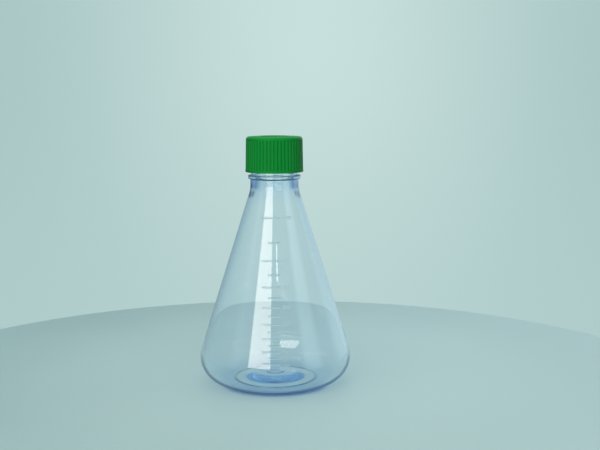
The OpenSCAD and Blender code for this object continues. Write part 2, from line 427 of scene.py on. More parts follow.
def outward(shape, mesh):
    """Turns a closed shape's faces outwards, writes it to a mesh and frees it."""
    bmesh.ops.recalc_face_normals(shape, faces=shape.faces)
    shape.to_mesh(mesh)
    shape.free()


def turned(name, outline, columns):
    """A closed mesh object: the outline of (radius, height) points spun round the upright axis."""
    shape = bmesh.new()
    rings = []
    for point in outline:
        count = 1 if point.x < tiny else columns
        angles = [2 * math.pi * i / columns for i in range(count)]
        places = [(point.x * math.cos(a), point.x * math.sin(a), point.y) for a in angles]
        rings.append([shape.verts.new(place) for place in places])
    for low, high in zip(rings, rings[1:] + rings[:1]):
        for i in range(columns):
            k = (i + 1) % columns
            corners = [low[i % len(low)], low[k % len(low)], high[k % len(high)], high[i % len(high)]]
            corners = list(dict.fromkeys(corners))
            if len(corners) > 2:
                shape.faces.new(corners)
    mesh = bpy.data.meshes.new(name)
    outward(shape, mesh)
    print(name, "outline of", len(outline), "points,", len(mesh.polygons), "faces")
    return add_object(name, mesh)


# %% [markdown]
# ## Running a Geometry Nodes tree
#
# What repeats on this object is made by Geometry Nodes: the screw threads, the volume marks, the flutes in
# the cap and its vent holes. Each tree has named inputs, so its sizes can be read and changed in one place.
# The helpers below make a tree with its inputs, run it on a piece and keep the result as a plain mesh.


# %% Geometry Nodes helpers
def new_tree(name, sizes):
    """An empty geometry tree with a mesh coming in and out, a material, and a number input for each size."""
    tree = bpy.data.node_groups.new(name, "GeometryNodeTree")
    tree.interface.new_socket("Mesh", in_out="INPUT", socket_type="NodeSocketGeometry")
    tree.interface.new_socket("Material", in_out="INPUT", socket_type="NodeSocketMaterial")
    for size in sizes:
        tree.interface.new_socket(size, in_out="INPUT", socket_type="NodeSocketFloat")
    tree.interface.new_socket("Mesh", in_out="OUTPUT", socket_type="NodeSocketGeometry")
    return tree, tree.nodes.new("NodeGroupInput").outputs


def position(tree):
    """The X, Y and Z of each point."""
    where = add_node(tree, "GeometryNodeInputPosition").outputs[0]
    return add_node(tree, "ShaderNodeSeparateXYZ", {0: where}).outputs


def unit_rod(tree, sides, steps, length=1.0):
    """A cylinder of radius 1 along Z, with steps along its length, for the tree to bend."""
    sizes = {"Vertices": sides, "Side Segments": steps, "Radius": 1.0, "Depth": length}
    return add_node(tree, "GeometryNodeMeshCylinder", sizes).outputs["Mesh"]


def moved(tree, geometry, places):
    """The geometry with its points at new places."""
    return add_node(tree, "GeometryNodeSetPosition", {"Geometry": geometry, "Position": places}).outputs[0]


def realized(tree, geometry):
    """Instances made into real mesh."""
    return add_node(tree, "GeometryNodeRealizeInstances", {0: geometry}).outputs[0]


def end_tree(tree, given, geometry):
    """Realizes what the tree made, gives it the material and hands it out."""
    inputs = {"Geometry": realized(tree, geometry), "Material": given["Material"]}
    add_node(tree, "NodeGroupOutput", {0: add_node(tree, "GeometryNodeSetMaterial", inputs).outputs[0]})
    print(tree.name, "tree:", len(tree.nodes), "nodes")


def plain_mesh(piece):
    """Replaces a piece's mesh by what its modifiers make of it, and removes them."""
    evaluated = piece.evaluated_get(bpy.context.evaluated_depsgraph_get())
    made = bpy.data.meshes.new_from_object(evaluated)
    piece.modifiers.clear()
    piece.data = made
    return piece


def run_tree(piece, tree, material, sizes):
    """Runs a tree on a piece with these sizes, and keeps the result as its mesh."""
    modifier = piece.modifiers.new(tree.name, "NODES")
    modifier.node_group = tree
    for item in tree.interface.items_tree:
        if item.in_out == "INPUT" and item.name in sizes:
            modifier[item.identifier] = float(sizes[item.name])
        elif item.in_out == "INPUT" and item.name == "Material":
            modifier[item.identifier] = material
    return plain_mesh(piece)


def grown(name, tree, material, sizes):
    """A piece that a tree makes from nothing, turned the right way round, because bending may reverse it."""
    piece = run_tree(add_object(name, bpy.data.meshes.new(name)), tree, material, sizes)
    shape = bmesh.new()
    shape.from_mesh(piece.data)
    outward(shape, piece.data)
    print(name, "has", len(piece.data.polygons), "faces")
    return piece


def united(piece, *others):
    """One closed mesh of a piece and others that are sunk into it, which are used up."""
    for other in others:
        join = piece.modifiers.new(other.name, "BOOLEAN")
        join.operation = "UNION"
        join.solver = "MANIFOLD"
        join.object = other
    plain_mesh(piece)
    for other in others:
        bpy.data.objects.remove(other)
    return piece


# %% [markdown]
# ## The flask's outline
#
# The flask is one moulding. Its outline starts at the middle of the underside, runs out over the pushed-up
# base to the flat foot, round the heel, up the cone, over the shoulder, bead and rim, and back down the
# inside. The width, the rim's height and the mouth come from the frame; the rest are the drawing's own sizes.

# %% Cone and neck
base_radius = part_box("flask_body")[1].x
rim_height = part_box("flask_body")[1].z
mounts = {m["name"]: m for m in frame["record"]["mounts"]}
mouth_radius = mounts["mouth"]["dims"]["r_mm"] * MM

wall = 2.2 * MM
heel_radius = 22.4 * MM
neck_wall = 4 * MM
neck_radius = mouth_radius + neck_wall
shoulder_height = 166.3 * MM
shoulder_curve = 22 * MM
heel_middle = base_radius - heel_radius

# Lean of the cone's side: from the neck's corner, the line that touches the heel's circle
reach_out = heel_middle - neck_radius
reach_up = shoulder_height - heel_radius
lean = math.atan2(reach_out, reach_up) + math.asin(heel_radius / math.hypot(reach_out, reach_up))
apex = shoulder_height + neck_radius / math.tan(lean)
inner_apex = apex - wall / math.sin(lean)
inner_shoulder = inner_apex - mouth_radius / math.tan(lean)
print("cone leans", round(math.degrees(lean), 2), "degrees")

# %% Bead and rim
finish_radius = mouth_radius + 3.4 * MM
bead_radius = neck_radius + 1.9 * MM
bead_low = 175.3 * MM
bead_high = 178.5 * MM
bead_round = 1 * MM
root_round = 0.5 * MM
rim_round = 0.6 * MM
print("bead", round(2 * bead_radius / MM, 1), "mm across, rim", round(2 * finish_radius / MM, 1), "mm")

# %% Foot and pushed-up base
foot_width = 8.2 * MM
step_height = 1.2 * MM
edge_round = 0.5 * MM
dome_rise = 1.2 * MM
dome_thickness = 1.8 * MM
gate_radius = 7.8 * MM
gate_height = 0.6 * MM
gate_round = 0.2 * MM
core_radius = 29 * MM
plateau_radius = 14 * MM
core_rise = 2.6 * MM
dome_pieces = 12
core_pieces = 16
step_radius = heel_middle - foot_width
mound_radius = step_radius + dome_thickness
dome_radius = (step_radius**2 + dome_rise**2) / (2 * dome_rise)
dome_middle = step_height + dome_rise - dome_radius
crown = step_height + dome_rise
core_top = crown + dome_thickness + core_rise


def dome_arc(outer, inner, extra):
    """Corners along the dome from one radius to another, moved up by extra."""
    start = math.acos(outer / (dome_radius + extra))
    end = math.acos(inner / (dome_radius + extra))
    return arc((0, dome_middle), dome_radius + extra, start, end, dome_pieces)


def core_slope():
    """Corners from the edge of the thick middle up to its level top, along a smooth step."""
    corners = []
    for k in range(1, core_pieces + 1):
        share = k / core_pieces
        radius = core_radius + (plateau_radius - core_radius) * share
        skin = dome_middle + math.sqrt((dome_radius + dome_thickness) ** 2 - radius**2)
        corners.append((radius, skin + core_rise * (1 - math.cos(math.pi * share)) / 2, 0))
    return corners


print("base is", round((core_top - crown) / MM, 2), "mm thick in the middle")

# %% Turn the flask
flask_columns = 288
longest_step = 6 * MM

under_boss = gate_radius - dome_thickness
underside = [(0, crown + gate_height, 0), (under_boss, crown + gate_height, edge_round)]
underside += list(reversed(dome_arc(step_radius, under_boss, 0)))
outside = [
    (step_radius, 0, edge_round),
    (apex * math.tan(lean), 0, heel_radius),
    (neck_radius, shoulder_height, shoulder_curve),
    (neck_radius, bead_low, root_round),
    (bead_radius, bead_low, bead_round),
    (bead_radius, bead_high, bead_round),
    (finish_radius, bead_high, root_round),
    (finish_radius, rim_height, rim_round),
]
inside = [
    (mouth_radius, rim_height, rim_round),
    (mouth_radius, inner_shoulder, shoulder_curve + wall),
    ((inner_apex - wall) * math.tan(lean), wall, heel_radius - wall),
    (mound_radius, wall, edge_round),
]
inside += dome_arc(mound_radius, core_radius, dome_thickness) + core_slope()
inside += [
    (gate_radius, core_top, gate_round),
    (gate_radius, core_top + gate_height, gate_round),
    (0, core_top + gate_height, 0),
]
flask_outline = split_long(rounded(underside + outside + inside), longest_step)
flask = turned("clear_flask", flask_outline, flask_columns)

# %% [markdown]
# ## Shared surface effects
#
# Moulded plastic is never quite even. A shader node group is a small tree that several materials can use:
# this one gives a broad drift of tone, a fine moulding grain and the hairline scuffs that handling leaves.
# It puts out only values, and each material decides what they change.

# %% Moulded surface group
hair_stretch = (1.0, 1.0, 0.12)

# Scuffs are the peaks of a stretched noise, in the patches where the drift is high too
hair_span = (0.56, 0.72)
patch_span = (0.45, 0.70)

moulded_surface = bpy.data.node_groups.new("moulded_surface", "ShaderNodeTree")
tree = moulded_surface
for socket in ("Drift Scale", "Grain Scale", "Scuff Scale"):
    tree.interface.new_socket(socket, in_out="INPUT", socket_type="NodeSocketFloat")
for socket in ("Drift", "Grain", "Scuff"):
    tree.interface.new_socket(socket, in_out="OUTPUT", socket_type="NodeSocketFloat")
given = tree.nodes.new("NodeGroupInput").outputs


def noise(vector, scale, detail, roughness=0.5):
    """A noise value in the moulded surface group."""
    inputs = {"Vector": vector, "Scale": scale, "Detail": detail, "Roughness": roughness}
    return add_node(moulded_surface, "ShaderNodeTexNoise", inputs).outputs["Fac"]


place = add_node(tree, "ShaderNodeTexCoord").outputs["Object"]
drift = noise(place, given["Drift Scale"], 2.0)
grain = noise(place, given["Grain Scale"], 2.0)
stretched = add_node(tree, "ShaderNodeMapping", {"Vector": place, "Scale": hair_stretch}).outputs[0]
hairs = noise(stretched, given["Scuff Scale"], 4.0, 0.7)
scuff = product(tree, ease(tree, hairs, *hair_span), ease(tree, drift, *patch_span))
add_node(tree, "NodeGroupOutput", {"Drift": drift, "Grain": grain, "Scuff": scuff})
print("moulded surface group:", len(tree.nodes), "nodes")


# %% Using the group
def surface_of(tree, drift_scale, grain_scale, scuff_scale):
    """The outputs of the moulded surface group, placed in a material with its own scales."""
    scales = {"Drift Scale": drift_scale, "Grain Scale": grain_scale, "Scuff Scale": scuff_scale}
    return add_node(tree, "ShaderNodeGroup", scales, node_tree=moulded_surface).outputs


def bump(tree, height, depth):
    """A normal that follows a height, for relief about depth metres deep."""
    return add_node(tree, "ShaderNodeBump", {"Height": height, "Distance": depth, "Strength": 1.0}).outputs[0]


# %% [markdown]
# ## Clear plastic
#
# The flask is polycarbonate: as clear as glass, with a faint blue that deepens wherever light travels far
# inside it. Volume Absorption gives that, and the surface is a Principled shader with full transmission
# and a light haze of scuffs. After more bounces inside the wall than a render follows, a real flask also
# looks blue at the sides of its thick neck, dark along its heel, its bead and the sides of its shoulder,
# and a little grey on its raised marks. Here that is painted shade: masks made from the place on the flask,
# and from how far the surface is turned away from the eye, paint those tints where they belong.

# %% Tints and painted shade of the clear plastic
clear_tint = (0.990, 0.996, 0.999, 1)
neck_tint = (0.880, 0.930, 0.975, 1)
# Painted shade: blue at the neck's sides, dark on the heel, shoulder and bead, a little grey on the marks
neck_edge_painted_shade = (0.20, 0.38, 0.78, 1)
heel_painted_shade = (0.003, 0.026, 0.18, 1)
shoulder_painted_shade = (0.03, 0.07, 0.16, 1)
under_bead_painted_shade = (0.015, 0.04, 0.06, 1)
over_bead_painted_shade = (0.10, 0.18, 0.26, 1)
mark_painted_shade = (0.70, 0.79, 0.83, 1)

# Heights between which the neck's tint and each painted shade on the neck come in and go out
bead_line_end = bead_low + 1.1 * MM
wedge_low = shoulder_height - 8 * MM
wedge_high = shoulder_height - 2 * MM
neck_span = (shoulder_height - 16 * MM, shoulder_height + 6 * MM, bead_low + 0.3 * MM, bead_line_end)
neck_edge_span = (shoulder_height, shoulder_height + 4 * MM, bead_low - 0.8 * MM, bead_line_end)
shoulder_span = (wedge_low, wedge_low + 3 * MM, wedge_high, wedge_high + 2 * MM)
bead_span = (bead_low - 0.4 * MM, bead_low, bead_low + 0.5 * MM, bead_line_end)
bead_top_span = (bead_high - 0.9 * MM, bead_high - 0.4 * MM, bead_high, bead_high + 0.4 * MM)
print("dark wedges from", round(wedge_low / MM, 1), "to", round(wedge_high / MM, 1), "mm up")

# %% Masks for the painted shade on the neck, the shoulder and the bead
# Facing is 0 where a surface is seen face on and 1 where it is seen edge on
neck_facing = (0.22, 0.60)
shoulder_facing = (0.48, 0.66)
off_neck_span = (neck_radius - 0.5 * MM, neck_radius + 0.1 * MM)

clear_plastic, tree, shader = new_material("clear_plastic")
place = add_node(tree, "ShaderNodeTexCoord").outputs["Object"]
spot = add_node(tree, "ShaderNodeSeparateXYZ", {0: place}).outputs
level = spot["Z"]
from_axis = hypotenuse(tree, spot["X"], spot["Y"])
facing = add_node(tree, "ShaderNodeLayerWeight", {"Blend": 0.5}).outputs["Facing"]

# Painted shade: blue at the neck's sides, dark wedges on the shoulder, dark lines under and over the bead
neck_edge_shade_mask = product(tree, ease(tree, facing, *neck_facing), band(tree, level, *neck_edge_span))
shoulder_shade_mask = product(tree, ease(tree, facing, *shoulder_facing), band(tree, level, *shoulder_span))
off_neck = ease(tree, from_axis, *off_neck_span)
under_bead_shade_mask = product(tree, band(tree, level, *bead_span), off_neck)
over_bead_shade_mask = product(tree, band(tree, level, *bead_top_span), off_neck)
print("masks for the neck:", len(tree.nodes), "nodes")

# %% Masks for the painted dark line on the heel and the painted grey on the raised marks
# The painted dark line is thin at the sides of the heel and broader low down, under the front
heel_line_low = 0.46
heel_line_high = 0.60
heel_line_width = 0.19
heel_line_span = (2 * MM, 14 * MM)

# The painted line is on the heel's outer skin only, from outside the foot up to the start of the cone
outer_span = (heel_radius - 1.6 * MM, heel_radius - 0.6 * MM)
heel_top_span = (36 * MM, 18 * MM)
heel_out_span = (0.4 * MM, 4.4 * MM)

# The marks' painted shade comes in between these heights above the cone, and ends a little above the top one
raised_span = (0.22 * MM, 0.45 * MM)
raised_end = (shoulder_height - 14 * MM, shoulder_height - 18 * MM)

heel_out = calc(tree, "SUBTRACT", from_axis, heel_middle)
heel_up = calc(tree, "SUBTRACT", level, heel_radius)
outer_skin = product(
    tree,
    ease(tree, hypotenuse(tree, heel_out, heel_up), *outer_span),
    ease(tree, level, *heel_top_span),
    ease(tree, heel_out, *heel_out_span),
)
line_start = ease(tree, level, *heel_line_span, heel_line_low, heel_line_high)
line_full = calc(tree, "ADD", line_start, heel_line_width)
heel_shade_mask = product(tree, ease(tree, facing, line_start, line_full), outer_skin)

# Painted shade: a little grey where the marks stand out from the cone
slant = calc(tree, "ADD", product(tree, from_axis, math.cos(lean)), product(tree, level, math.sin(lean)))
off_cone = calc(tree, "SUBTRACT", slant, apex * math.sin(lean))
raised = product(tree, ease(tree, off_cone, *raised_span), ease(tree, level, *raised_end))
print("masks for the heel and the marks:", len(tree.nodes), "nodes")

# %% Mix the tints and the painted shade
body_tint = mix_colours(tree, band(tree, level, *neck_span), clear_tint, neck_tint)
# Each mask paints its shade over the plain tint of the body
masked_tints = (
    (raised, mark_painted_shade),
    (neck_edge_shade_mask, neck_edge_painted_shade),
    (shoulder_shade_mask, shoulder_painted_shade),
    (over_bead_shade_mask, over_bead_painted_shade),
    (under_bead_shade_mask, under_bead_painted_shade),
    (heel_shade_mask, heel_painted_shade),
)
for mask, tint in masked_tints:
    body_tint = mix_colours(tree, mask, body_tint, tint)
print("tints of the clear plastic:", len(masked_tints) + 2)

# %% Surface and depth
clear_index = 1.58
depth_colour = (0.0, 0.54, 0.93, 1)
depth_density = 27.0
clear_roughness = (0.03, 0.10)
drift_depth = 0.02 * MM

surface = surface_of(tree, drift_scale=22.0, grain_scale=900.0, scuff_scale=320.0)
feed(tree, shader, {
    "Base Color": body_tint,
    "Roughness": ease(tree, surface["Scuff"], 0.0, 1.0, *clear_roughness),
    "IOR": clear_index,
    "Transmission Weight": 1.0,
    "Normal": bump(tree, surface["Drift"], drift_depth),
})
depth_tint = add_node(tree, "ShaderNodeVolumeAbsorption", {"Color": depth_colour, "Density": depth_density})
print("clear plastic: index", clear_index)

# %% [markdown]
# ## Light through the clear plastic
#
# Light from lamps can't find its way through bent surfaces quickly. So shadow rays and bounced soft light
# pass straight through a Transparent shader instead, and the shadow stays pale. Its colour is bluer close
# to the table, most of all under the front of the foot and the heel, where the real flask shades its own
# foot with blue.

# %% Shade under the flask
shade_tint = (0.972, 0.982, 0.995, 1)
foot_tint = (0.80, 0.89, 0.97, 1)
foot_front_tint = (0.50, 0.73, 0.94, 1)
heel_tint = (0.12, 0.28, 0.64, 1)
foot_level = 0.15 * MM
foot_fade_back = 0.5 * MM
foot_fade_front = 3.2 * MM
front_span = (-10 * MM, -40 * MM)
heel_shade_span = (-0.6 * MM, 3.4 * MM)

front = ease(tree, spot["Y"], *front_span)
foot_fade = ease(tree, front, 0.0, 1.0, foot_fade_back, foot_fade_front)
near_foot = ease(tree, level, foot_fade, foot_level)
front_heel = product(tree, front, ease(tree, heel_out, *heel_shade_span))
under = mix_colours(tree, front, foot_tint, foot_front_tint)
under = mix_colours(tree, front_heel, under, heel_tint)
shade = mix_colours(tree, near_foot, shade_tint, under)
clear_way = add_node(tree, "ShaderNodeBsdfTransparent", {"Color": shade}).outputs[0]
ray = add_node(tree, "ShaderNodeLightPath").outputs
soft_light = add_node(
    tree, "ShaderNodeMixShader", {0: ray["Is Diffuse Ray"], 1: shader.outputs[0], 2: clear_way}
)
lamp_light = add_node(
    tree, "ShaderNodeMixShader", {0: ray["Is Shadow Ray"], 1: soft_light.outputs[0], 2: clear_way}
)
output = tree.nodes["Material Output"]
feed(tree, output, {"Surface": lamp_light.outputs[0], "Volume": depth_tint.outputs[0]})
print("clear plastic:", len(tree.nodes), "nodes")

# %% [markdown]
# ## Screw thread
#
# A ridge winds one and a half turns round the neck, and a matching one lies inside the cap. A spiral curve
# with a profile would do, but its ends need to fade into the wall. Here a plain cylinder is bent instead:
# its length becomes the way along the helix and its round section becomes the ridge, which dives under the
# wall at both ends. The lead comes from the joint that couples the cap's lift to its turning.

# %% Thread tree
thread_sizes = (
    "Root radius", "Growth", "Start height", "Lead", "Start angle", "Turns", "Height", "Half width",
)
thread_sink = 0.5 * MM
thread_dive = 0.2 * MM
thread_runout = 0.07
thread_steps = 160
thread_sides = 16

thread_tree, given = new_tree("screw_thread", thread_sizes)
tree = thread_tree
rod = unit_rod(tree, thread_sides, thread_steps)
spot = position(tree)
turned_so_far = calc(tree, "MULTIPLY", calc(tree, "ADD", spot["Z"], 0.5), given["Turns"])
from_end = calc(tree, "MINIMUM", turned_so_far, calc(tree, "SUBTRACT", given["Turns"], turned_so_far))
fade = ease(tree, from_end, 0.0, thread_runout)
crest = calc(tree, "MULTIPLY_ADD", fade, calc(tree, "ADD", given["Height"], thread_dive), -thread_dive)
share = calc(tree, "MULTIPLY_ADD", spot["X"], 0.5, 0.5)
proud = calc(tree, "MULTIPLY_ADD", share, calc(tree, "ADD", crest, thread_sink), -thread_sink)
radius = calc(tree, "MULTIPLY_ADD", proud, given["Growth"], given["Root radius"])
angle = calc(tree, "MULTIPLY_ADD", turned_so_far, 2 * math.pi, given["Start angle"])
rise = calc(tree, "DIVIDE", given["Lead"], 2 * math.pi)
climb = calc(tree, "MULTIPLY_ADD", angle, rise, given["Start height"])
bent = combine(
    tree,
    calc(tree, "MULTIPLY", radius, calc(tree, "COSINE", angle)),
    calc(tree, "MULTIPLY", radius, calc(tree, "SINE", angle)),
    calc(tree, "MULTIPLY_ADD", spot["Y"], given["Half width"], climb),
)
end_tree(tree, given, moved(tree, rod, bent))

# %% Thread on the neck
lift_per_radian = frame["record"]["behaviour"]["couplings"][0]["ratio"]
thread_lead = lift_per_radian * 2 * math.pi
thread_turns = 1.5
thread_height = 1.1 * MM
thread_half_width = 0.95 * MM
thread_from_rim = 3.2 * MM
thread_start = rim_height - thread_from_rim - thread_lead * thread_turns


def thread_ridge(name, material, root, growth, start_height, start_angle):
    """A closed ridge along the helix, standing out from a wall where growth is 1 and in where it is -1."""
    return grown(name, thread_tree, material, {
        "Root radius": root, "Growth": growth, "Start height": start_height, "Lead": thread_lead,
        "Start angle": start_angle, "Turns": thread_turns, "Height": thread_height,
        "Half width": thread_half_width,
    })


neck_thread = thread_ridge("neck_thread", clear_plastic, finish_radius, 1, thread_start, 0)
print("lead", round(thread_lead / MM, 3), "mm")

# %% [markdown]
# ## Volume marks
#
# Fifteen raised lines climb the front of the cone, long ones every 100 ml and short ones between. Equal
# volumes in a cone add equal amounts to the cube of its inner radius, so the tree works out each height
# from that rule instead of from a list. Rods are placed on a row of points, one for each mark, and every
# rod is then bent round the cone at its own height.

# %% Mark tree: one rod for each mark
mark_sizes = (
    "Count", "Step volume", "Top height", "Inner apex", "Apex", "Lean",
    "Right", "Long", "Short", "Half width", "Relief",
)
mark_steps = 24
mark_sides = 12

mark_tree, given = new_tree("volume_marks", mark_sizes)
tree = mark_tree
row = add_node(tree, "GeometryNodeMeshLine", {"Count": given["Count"], "Offset": (0, 0, 0)}).outputs[0]
number = add_node(tree, "GeometryNodeInputIndex").outputs[0]
numbered = add_node(
    tree, "GeometryNodeStoreNamedAttribute", {"Geometry": row, "Name": "mark_number", "Value": number}
).outputs[0]
rod = unit_rod(tree, mark_sides, mark_steps)
placed = add_node(tree, "GeometryNodeInstanceOnPoints", {"Points": numbered, "Instance": rod}).outputs[0]
rods = realized(tree, placed)
mark = add_node(tree, "GeometryNodeInputNamedAttribute", {"Name": "mark_number"}).outputs["Attribute"]
print("mark tree so far:", len(tree.nodes), "nodes")

# %% Mark tree: heights by volume, then bending
mark_sink = 0.4 * MM
mark_end_share = 0.05
mark_end_width = 0.4

spot = position(tree)
slope = calc(tree, "TANGENT", given["Lean"])
slant_sine = calc(tree, "SINE", given["Lean"])
slant_cosine = calc(tree, "COSINE", given["Lean"])
top_radius = calc(tree, "MULTIPLY", calc(tree, "SUBTRACT", given["Inner apex"], given["Top height"]), slope)
cube_step = product(tree, slope, 3 / math.pi, given["Step volume"])
cube = calc(tree, "MULTIPLY_ADD", mark, cube_step, calc(tree, "POWER", top_radius, 3.0))
inner_radius = calc(tree, "POWER", cube, 1 / 3)
mark_height = calc(tree, "SUBTRACT", given["Inner apex"], calc(tree, "DIVIDE", inner_radius, slope))
cone_radius = calc(tree, "MULTIPLY", calc(tree, "SUBTRACT", given["Apex"], mark_height), slope)

odd = calc(tree, "MODULO", mark, 2.0)
left = calc(tree, "MULTIPLY_ADD", odd, calc(tree, "SUBTRACT", given["Short"], given["Long"]), given["Long"])
along = calc(tree, "ADD", spot["Z"], 0.5)
whole_length = calc(tree, "ADD", left, given["Right"])
angle = calc(tree, "DIVIDE", calc(tree, "SUBTRACT", product(tree, along, whole_length), left), cone_radius)
from_end = calc(tree, "MINIMUM", along, calc(tree, "SUBTRACT", 1.0, along))
narrowed = ease(tree, from_end, 0.0, mark_end_share, mark_end_width, 1.0)
share = calc(tree, "MULTIPLY_ADD", spot["X"], 0.5, 0.5)
proud = calc(tree, "MULTIPLY_ADD", share, calc(tree, "ADD", given["Relief"], mark_sink), -mark_sink)
across = product(tree, spot["Y"], given["Half width"], narrowed)
out = calc(tree, "MULTIPLY_ADD", proud, slant_cosine, cone_radius)
radius = calc(tree, "SUBTRACT", out, product(tree, across, slant_sine))
up = calc(tree, "MULTIPLY_ADD", proud, slant_sine, mark_height)
bent = combine(
    tree,
    product(tree, radius, calc(tree, "SINE", angle)),
    product(tree, radius, calc(tree, "COSINE", angle), -1.0),
    calc(tree, "MULTIPLY_ADD", across, slant_cosine, up),
)
end_tree(tree, given, moved(tree, rods, bent))

# %% Marks on the cone
millilitre = 1e-6
mark_step = 50 * millilitre
mark_count = 15
top_mark_drop = 21.4 * MM
top_mark = shoulder_height - top_mark_drop
mark_relief = 0.55 * MM
mark_half_width = 0.75 * MM
mark_right = 4.5 * MM
mark_long = 11 * MM
mark_short = 6 * MM

volume_marks = grown("volume_marks", mark_tree, clear_plastic, {
    "Count": mark_count, "Step volume": mark_step, "Top height": top_mark,
    "Inner apex": inner_apex, "Apex": apex, "Lean": lean,
    "Right": mark_right, "Long": mark_long, "Short": mark_short,
    "Half width": mark_half_width, "Relief": mark_relief,
})

# %% [markdown]
# ## Numbers beside the long marks
#
# Such scales have small moulded numbers. Blender's own text gives their outlines. Each number is made a
# mesh first, welded, and then wrapped on the cone: the way across the text becomes an angle, and its depth
# stands out from the wall along the wall's own normal.

# %% Numbers
top_volume = 1000
figure_size = 4.2 * MM
figure_relief = 0.18 * MM
figure_round = 0.16 * MM
figure_gap = 1.6 * MM
weld_distance = 0.01 * MM


def height_at(volume_step):
    """Height of a mark on the cone, counted down from the top one."""
    cube = ((inner_apex - top_mark) * math.tan(lean)) ** 3
    cube += volume_step * 3 * math.tan(lean) * mark_step / math.pi
    return inner_apex - cube ** (1 / 3) / math.tan(lean)


def flat_figure(text):
    """A mesh of raised text, lying flat, with rounded edges."""
    letters = bpy.data.curves.new("figure_" + text, "FONT")
    letters.body = text
    letters.size = figure_size
    letters.extrude = (figure_relief + mark_sink) / 2 - figure_round
    letters.bevel_depth = figure_round
    letters.bevel_resolution = 1
    letters.offset = -figure_round / 2
    letters.resolution_u = 3
    letters.align_y = "CENTER"
    flat = add_object("figure_" + text, letters)
    mesh = bpy.data.meshes.new_from_object(flat.evaluated_get(bpy.context.evaluated_depsgraph_get()))
    bpy.data.objects.remove(flat)
    return mesh


def figure(text, level):
    """A raised number to the right of the mark at this height."""
    mesh = flat_figure(text)
    shape = bmesh.new()
    shape.from_mesh(mesh)
    bmesh.ops.remove_doubles(shape, verts=shape.verts, dist=weld_distance)
    radius = (apex - level) * math.tan(lean)
    for vert in shape.verts:
        angle = (mark_right + figure_gap + vert.co.x) / radius
        proud = vert.co.z + (figure_relief - mark_sink) / 2
        out = radius + proud * math.cos(lean) - vert.co.y * math.sin(lean)
        up = level + proud * math.sin(lean) + vert.co.y * math.cos(lean)
        vert.co = (out * math.sin(angle), -out * math.cos(angle), up)
    outward(shape, mesh)
    return add_object("figure_" + text, mesh)


figures = []
for step in range(0, mark_count, 2):
    volume = top_volume - step * mark_step / millilitre
    figures.append(figure(str(round(volume)), height_at(step)))
print("numbers:", [piece.name for piece in figures])

# %% Join the flask
united(flask, neck_thread, volume_marks, *figures)
finish_shading(flask.data, clear_plastic)
print("flask:", len(flask.data.polygons), "faces")

# %% [markdown]
# ## Green plastic
#
# The cap is moulded in an opaque green with a satin finish. Its colour drifts very slightly, its gloss is
# broken by a fine grain, and handling has dulled it in patches. Upright faces that turn away from the eye,
# such as the sides of the skirt and of its flutes, get a painted shade of deeper green. Layer Weight finds
# them, and the normal's Z leaves the top alone.

# %% Green plastic material
green = (0.0014, 0.208, 0.026, 1)
green_worn = (0.0020, 0.230, 0.033, 1)
# Painted shade: a deeper green where upright faces turn away from the eye
green_painted_edge_shade = (0.0009, 0.098, 0.013, 1)
edge_facing = (0.06, 0.70)
edge_tilt = (0.45, 0.15)
green_roughness = (0.34, 0.44)
scuff_dulling = 0.12
grain_depth = 0.02 * MM

green_plastic, tree, shader = new_material("green_plastic")
surface = surface_of(tree, drift_scale=60.0, grain_scale=2600.0, scuff_scale=500.0)
grain_gloss = ease(tree, surface["Grain"], *noise_span, *green_roughness)
facing = add_node(tree, "ShaderNodeLayerWeight", {"Blend": 0.5}).outputs["Facing"]
normal = add_node(tree, "ShaderNodeNewGeometry").outputs["Normal"]
tilt = calc(tree, "ABSOLUTE", add_node(tree, "ShaderNodeSeparateXYZ", {0: normal}).outputs["Z"])
painted_edge_shade_mask = product(tree, ease(tree, facing, *edge_facing), ease(tree, tilt, *edge_tilt))
colour = mix_colours(tree, surface["Drift"], green, green_worn)
feed(tree, shader, {
    "Base Color": mix_colours(tree, painted_edge_shade_mask, colour, green_painted_edge_shade),
    "Roughness": calc(tree, "MULTIPLY_ADD", surface["Scuff"], scuff_dulling, grain_gloss),
    "Normal": bump(tree, surface["Grain"], grain_depth),
    "Specular IOR Level": 0.07,
})
print("green plastic:", len(tree.nodes), "nodes")

# %% [markdown]
# ## The cap's outline
#
# A skirt with a smooth band at its lower edge, a rounded top edge, a slightly crowned top and a shallow
# round recess for the vent. The skirt gets many rows of points, because the flutes are pressed into it
# next.

# %% Cap outline
cap_low, cap_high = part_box("cap_shell")
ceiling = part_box("sealing_gasket")[1].z
band_radius = cap_high.x
cap_draft = 0.5 * MM
band_proud = 0.2 * MM
band_height = 1.8 * MM
band_round = 0.5 * MM
thread_clearance = 0.4 * MM
ceiling_round = 0.5 * MM
top_round = 2.5 * MM
top_crown = 0.5 * MM
recess_radius = 12.8 * MM
recess_depth = 1 * MM
recess_round = 0.4 * MM
cap_radius = band_radius - band_proud - cap_draft
bore_radius = finish_radius + thread_height + thread_clearance
recess_floor = cap_high.z - recess_depth
band_top = cap_low.z + band_height

cap_corners = [
    (bore_radius, cap_low.z, band_round),
    (band_radius, cap_low.z, band_round),
    (band_radius, band_top, band_proud / 2),
    (cap_radius + cap_draft, band_top, 0),
    (cap_radius, cap_high.z - top_crown, top_round),
    (recess_radius, cap_high.z, recess_round),
    (recess_radius, recess_floor, recess_round),
    (0, recess_floor, 0),
    (0, ceiling, 0),
    (bore_radius, ceiling, ceiling_round),
]
print("cap", round(2 * band_radius / MM, 1), "mm across, drawn with", len(cap_corners), "corners")

# %% Turn the cap
skirt_row = 0.4 * MM
flute_count = 48
columns_per_flute = 12

cap_outline = split_long(rounded(cap_corners), skirt_row, cap_radius - tiny)
cap = turned("screw_cap", cap_outline, flute_count * columns_per_flute)

